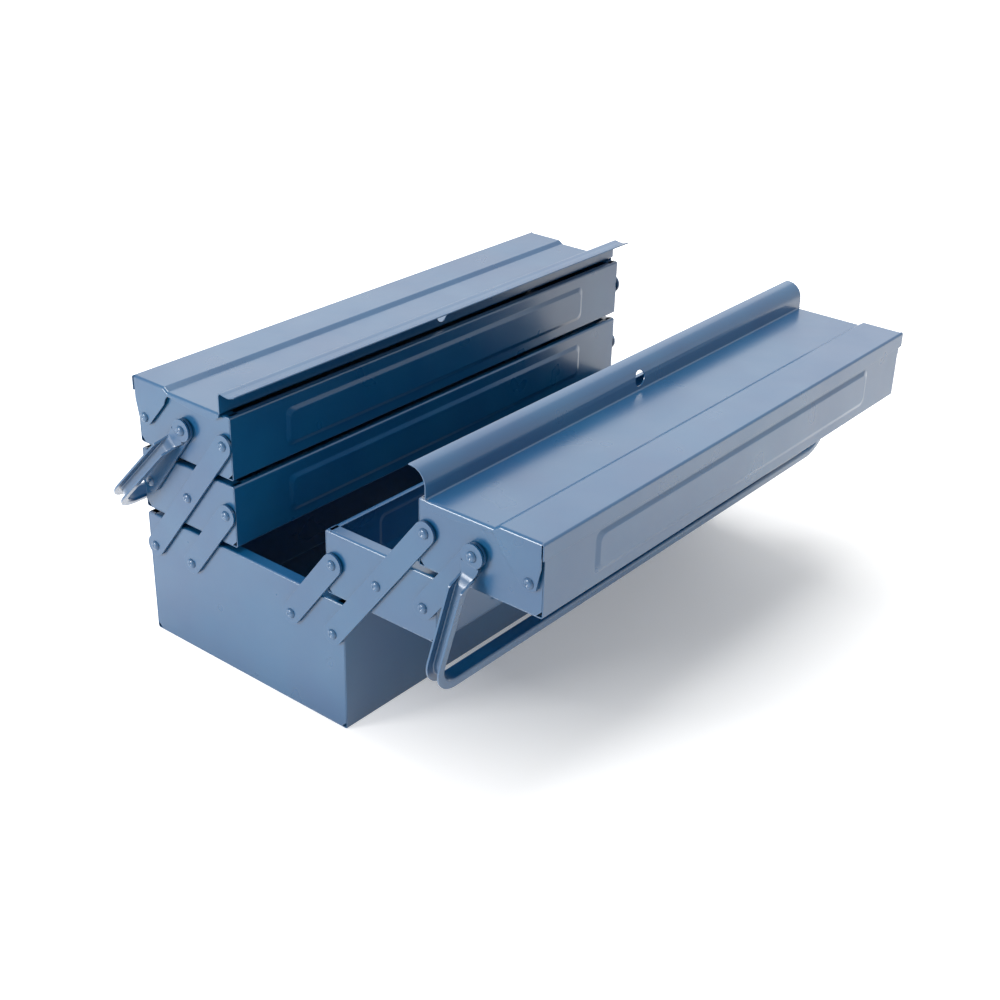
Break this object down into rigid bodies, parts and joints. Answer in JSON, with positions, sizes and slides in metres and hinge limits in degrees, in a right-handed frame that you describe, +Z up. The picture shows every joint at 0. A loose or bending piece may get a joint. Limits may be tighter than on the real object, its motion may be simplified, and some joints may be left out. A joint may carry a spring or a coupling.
{
  "type": "cantilever tool box",
  "caption": "Sheet steel cantilever tool box: an open base, tiers of trays that swing out sideways on riveted strap arms, half lids with overlapping lips, and bail handles.",
  "frame": {"origin": "middle of the base's underside, on the surface it stands on", "axes": "+X to the side whose trays stand swung out at rest, +Y along the box from the front end to the rear end, +Z up"},
  "size_m": [0.4091, 0.5132, 0.2382],
  "materials": {
    "shell_enamel": "glossy blue enamel",
    "arm_enamel": "glossy blue enamel",
    "handle_enamel": "glossy blue enamel",
    "rivet_enamel": "glossy blue enamel, brushed over after assembly"
  },
  "bodies": {
    "base": {"base_arm_rivets": "rivet_enamel", "base_arm_washers": "rivet_enamel", "base_body": "shell_enamel", "base_front_end": "shell_enamel", "base_rear_end": "shell_enamel"},
    "right_middle_tray": {"right_middle_tray_body": "shell_enamel", "right_middle_tray_front_end": "shell_enamel", "right_middle_tray_rear_end": "shell_enamel", "right_middle_tray_rivets": "rivet_enamel", "right_middle_tray_washers": "rivet_enamel"},
    "right_top_tray": {"right_top_tray_body": "shell_enamel", "right_top_tray_front_end": "shell_enamel", "right_top_tray_rear_end": "shell_enamel", "right_top_tray_rivets": "rivet_enamel", "right_top_tray_washers": "rivet_enamel", "right_handle_rivets": "rivet_enamel"},
    "right_long_arms": {"right_long_arm_front": "arm_enamel", "right_long_arm_rear": "arm_enamel"},
    "right_lower_arms": {"right_lower_arm_front": "arm_enamel", "right_lower_arm_rear": "arm_enamel"},
    "right_upper_arms": {"right_upper_arm_front": "arm_enamel", "right_upper_arm_rear": "arm_enamel"},
    "right_lid": {"right_lid": "shell_enamel"},
    "right_handle": {"right_handle": "handle_enamel"},
    "left_middle_tray": {"left_middle_tray_body": "shell_enamel", "left_middle_tray_front_end": "shell_enamel", "left_middle_tray_rear_end": "shell_enamel", "left_middle_tray_rivets": "rivet_enamel", "left_middle_tray_washers": "rivet_enamel"},
    "left_top_tray": {"left_top_tray_body": "shell_enamel", "left_top_tray_front_end": "shell_enamel", "left_top_tray_rear_end": "shell_enamel", "left_top_tray_rivets": "rivet_enamel", "left_top_tray_washers": "rivet_enamel", "left_handle_rivets": "rivet_enamel"},
    "left_long_arms": {"left_long_arm_front": "arm_enamel", "left_long_arm_rear": "arm_enamel"},
    "left_lower_arms": {"left_lower_arm_front": "arm_enamel", "left_lower_arm_rear": "arm_enamel"},
    "left_upper_arms": {"left_upper_arm_front": "arm_enamel", "left_upper_arm_rear": "arm_enamel"},
    "left_lid": {"left_lid": "shell_enamel"},
    "left_handle": {"left_handle": "handle_enamel"}
  },
  "joints": [
    {"name": "right_swing", "type": "hinge", "parent": "base", "child": "right_long_arms", "pos_m": [0.0965, 0, 0.0795], "axis": [0, -1, 0], "range_deg": [0, 75]},
    {"name": "right_middle_level", "type": "hinge", "parent": "right_long_arms", "child": "right_middle_tray", "pos_m": [0.13978, 0, 0.13591], "axis": [0, -1, 0], "range_deg": [-75, 0]},
    {"name": "right_top_level", "type": "hinge", "parent": "right_long_arms", "child": "right_top_tray", "pos_m": [0.18307, 0, 0.19232], "axis": [0, -1, 0], "range_deg": [-75, 0]},
    {"name": "right_lower_swing", "type": "hinge", "parent": "base", "child": "right_lower_arms", "pos_m": [0.0541, 0, 0.0795], "axis": [0, -1, 0], "range_deg": [0, 75]},
    {"name": "right_upper_swing", "type": "hinge", "parent": "right_middle_tray", "child": "right_upper_arms", "pos_m": [0.18218, 0, 0.13591], "axis": [0, -1, 0], "range_deg": [0, 75]},
    {"name": "right_lid_hinge", "type": "hinge", "parent": "right_top_tray", "child": "right_lid", "pos_m": [0.26913, 0, 0.189], "axis": [0, 1, 0], "range_deg": [0, 100]},
    {"name": "left_swing", "type": "hinge", "parent": "base", "child": "left_long_arms", "pos_m": [-0.0965, 0, 0.0795], "axis": [0, -1, 0], "range_deg": [0, 75]},
    {"name": "left_middle_level", "type": "hinge", "parent": "left_long_arms", "child": "left_middle_tray", "pos_m": [-0.05322, 0, 0.13591], "axis": [0, -1, 0], "range_deg": [-75, 0]},
    {"name": "left_top_level", "type": "hinge", "parent": "left_long_arms", "child": "left_top_tray", "pos_m": [-0.00993, 0, 0.19232], "axis": [0, -1, 0], "range_deg": [-75, 0]},
    {"name": "left_lower_swing", "type": "hinge", "parent": "base", "child": "left_lower_arms", "pos_m": [-0.0541, 0, 0.0795], "axis": [0, -1, 0], "range_deg": [0, 75]},
    {"name": "left_upper_swing", "type": "hinge", "parent": "left_middle_tray", "child": "left_upper_arms", "pos_m": [-0.09562, 0, 0.13591], "axis": [0, -1, 0], "range_deg": [0, 75]},
    {"name": "left_lid_hinge", "type": "hinge", "parent": "left_top_tray", "child": "left_lid", "pos_m": [-0.096, 0, 0.189], "axis": [0, -1, 0], "range_deg": [0, 100]},
    {"name": "right_handle_hinge", "type": "hinge", "parent": "right_upper_arms", "child": "right_handle", "pos_m": [0.22547, 0, 0.19232], "axis": [0, 1, 0], "range_deg": [-141, 20]},
    {"name": "left_handle_hinge", "type": "hinge", "parent": "left_top_tray", "child": "left_handle", "pos_m": [-0.05233, 0, 0.19232], "axis": [0, -1, 0], "range_deg": [-163, 6]}
  ],
  "couplings": [
    {"joint": "right_middle_level", "follows": "right_swing", "ratio": -1},
    {"joint": "right_top_level", "follows": "right_swing", "ratio": -1},
    {"joint": "right_lower_swing", "follows": "right_swing", "ratio": 1},
    {"joint": "right_upper_swing", "follows": "right_swing", "ratio": 1},
    {"joint": "left_middle_level", "follows": "left_swing", "ratio": -1},
    {"joint": "left_top_level", "follows": "left_swing", "ratio": -1},
    {"joint": "left_lower_swing", "follows": "left_swing", "ratio": 1},
    {"joint": "left_upper_swing", "follows": "left_swing", "ratio": 1}
  ]
}
